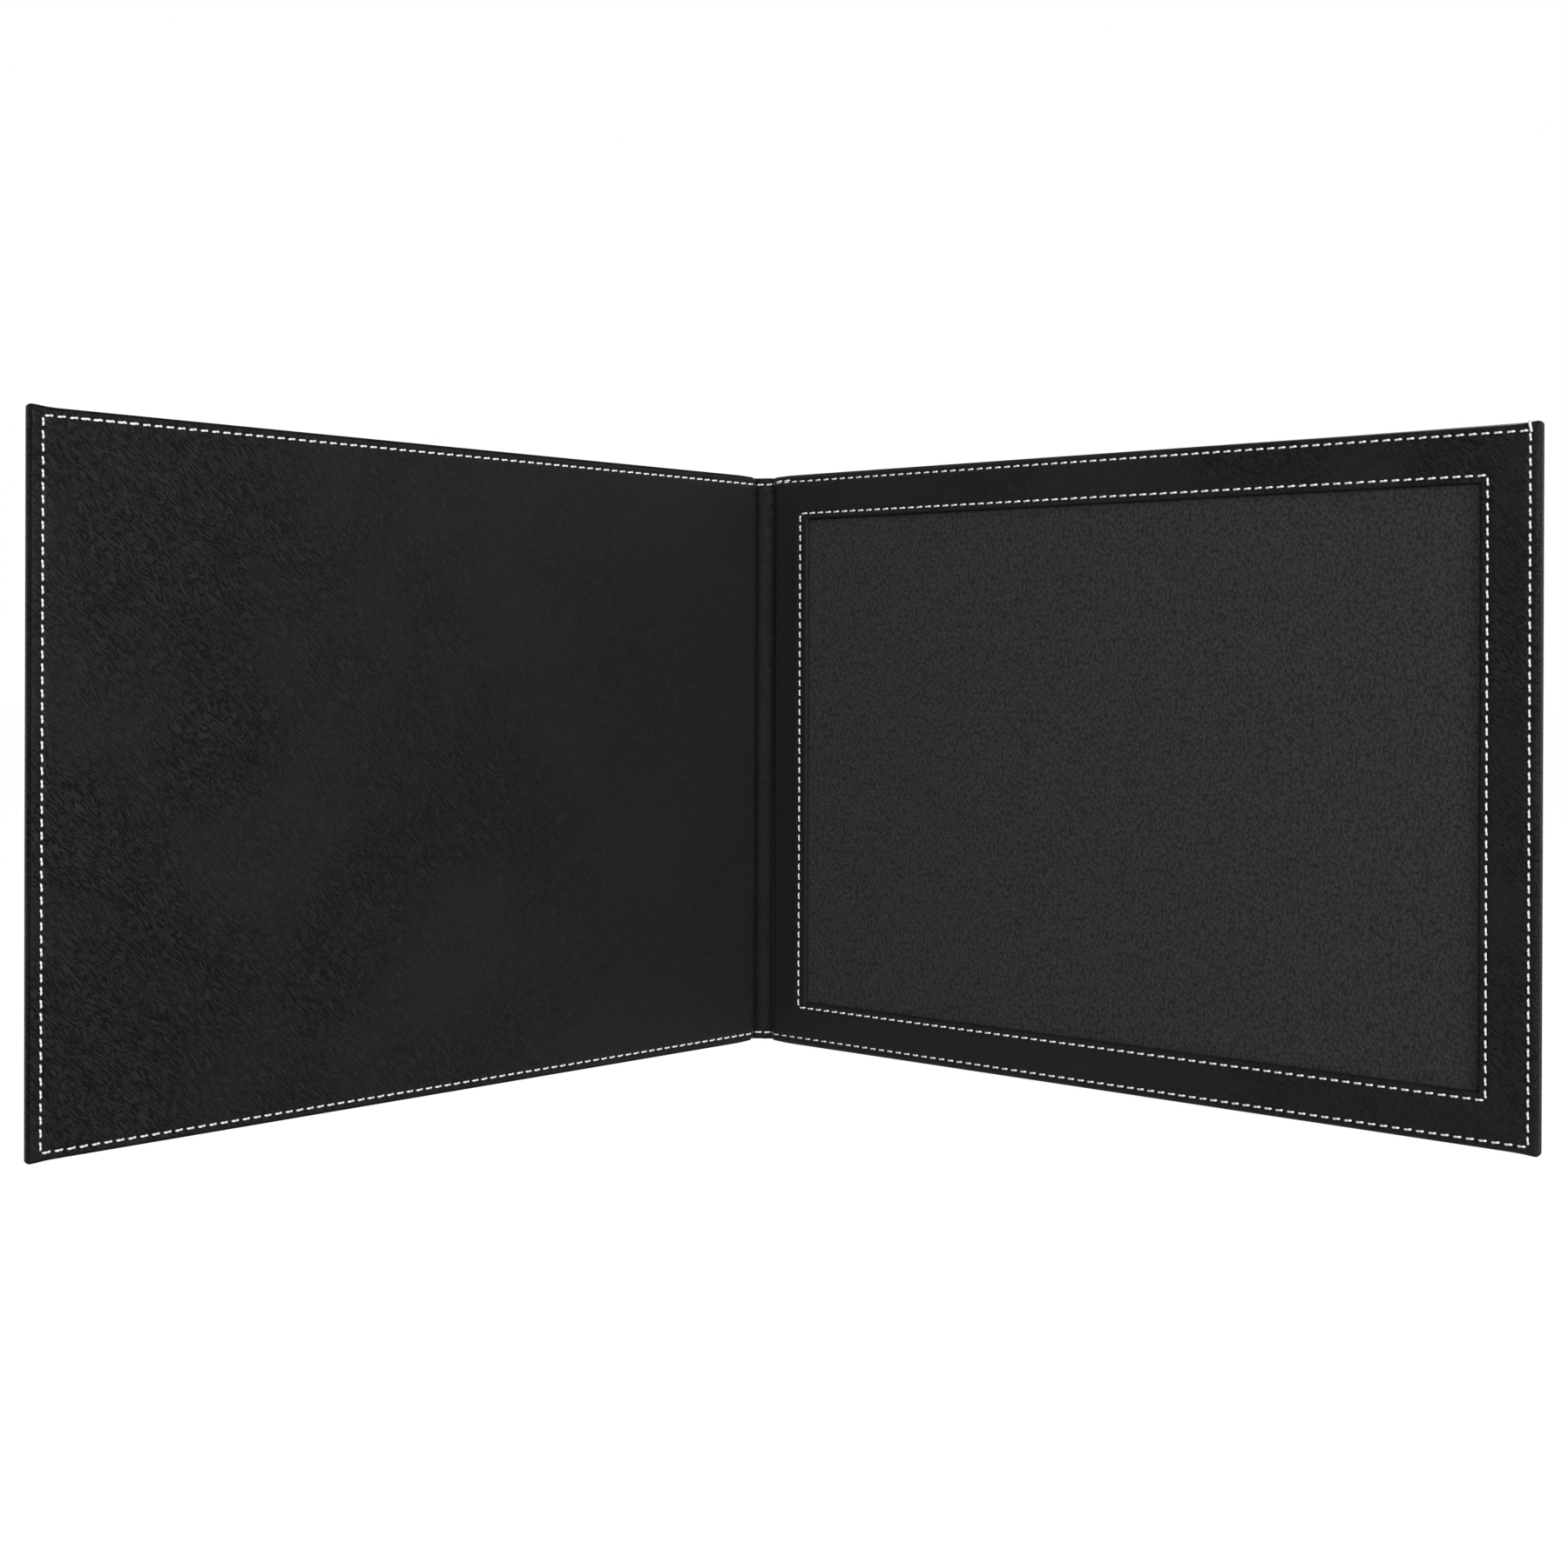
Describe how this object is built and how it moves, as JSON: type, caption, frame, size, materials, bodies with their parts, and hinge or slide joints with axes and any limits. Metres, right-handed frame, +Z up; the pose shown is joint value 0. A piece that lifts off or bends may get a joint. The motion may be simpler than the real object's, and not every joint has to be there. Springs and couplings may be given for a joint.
{
  "type": "diploma cover",
  "caption": "Hinged two-cover diploma holder in stitched leatherette, standing open, with a sewn window frame over a backing sheet on one cover.",
  "frame": {"origin": "middle of the footprint, on the surface that the open cover stands on", "axes": "+Z up along the spine; the right cover lies along X with its inside facing -Y; the left cover comes forward towards -Y at 100 degrees to it"},
  "size_m": [0.367, 0.3086, 0.235],
  "materials": {
    "outer_leatherette": "fine-grained black leatherette, soft satin",
    "inner_leatherette": "fine-grained black leatherette, soft satin",
    "greyboard": "plain grey pulp board",
    "backing_sheet": "matte pebbled dark grey sheet",
    "white_thread": "twisted off-white sewing thread"
  },
  "bodies": {
    "right_cover": {"right_outer_skin": "outer_leatherette", "right_board": "greyboard", "window_backing": "backing_sheet", "frame_card": "greyboard", "frame_skin": "inner_leatherette", "window_seam_thread": "white_thread", "right_seam_thread_inside": "white_thread", "right_seam_thread_outside": "white_thread"},
    "spine": {"spine_outer_skin": "outer_leatherette", "spine_lining": "inner_leatherette", "spine_thread_inside_top": "white_thread", "spine_thread_inside_bottom": "white_thread", "spine_thread_outside_top": "white_thread", "spine_thread_outside_bottom": "white_thread"},
    "left_cover": {"left_outer_skin": "outer_leatherette", "left_board": "greyboard", "left_lining": "inner_leatherette", "left_seam_thread_inside": "white_thread", "left_seam_thread_outside": "white_thread"}
  },
  "joints": [
    {"name": "right_crease", "type": "hinge", "parent": "right_cover", "child": "spine", "pos_m": [-0.12289, 0.15366, 0], "axis": [0, 0, 1], "range_deg": [-40, 50]},
    {"name": "left_crease", "type": "hinge", "parent": "spine", "child": "left_cover", "pos_m": [-0.13009, 0.14762, 0], "axis": [0, 0, 1], "range_deg": [-40, 50]}
  ]
}
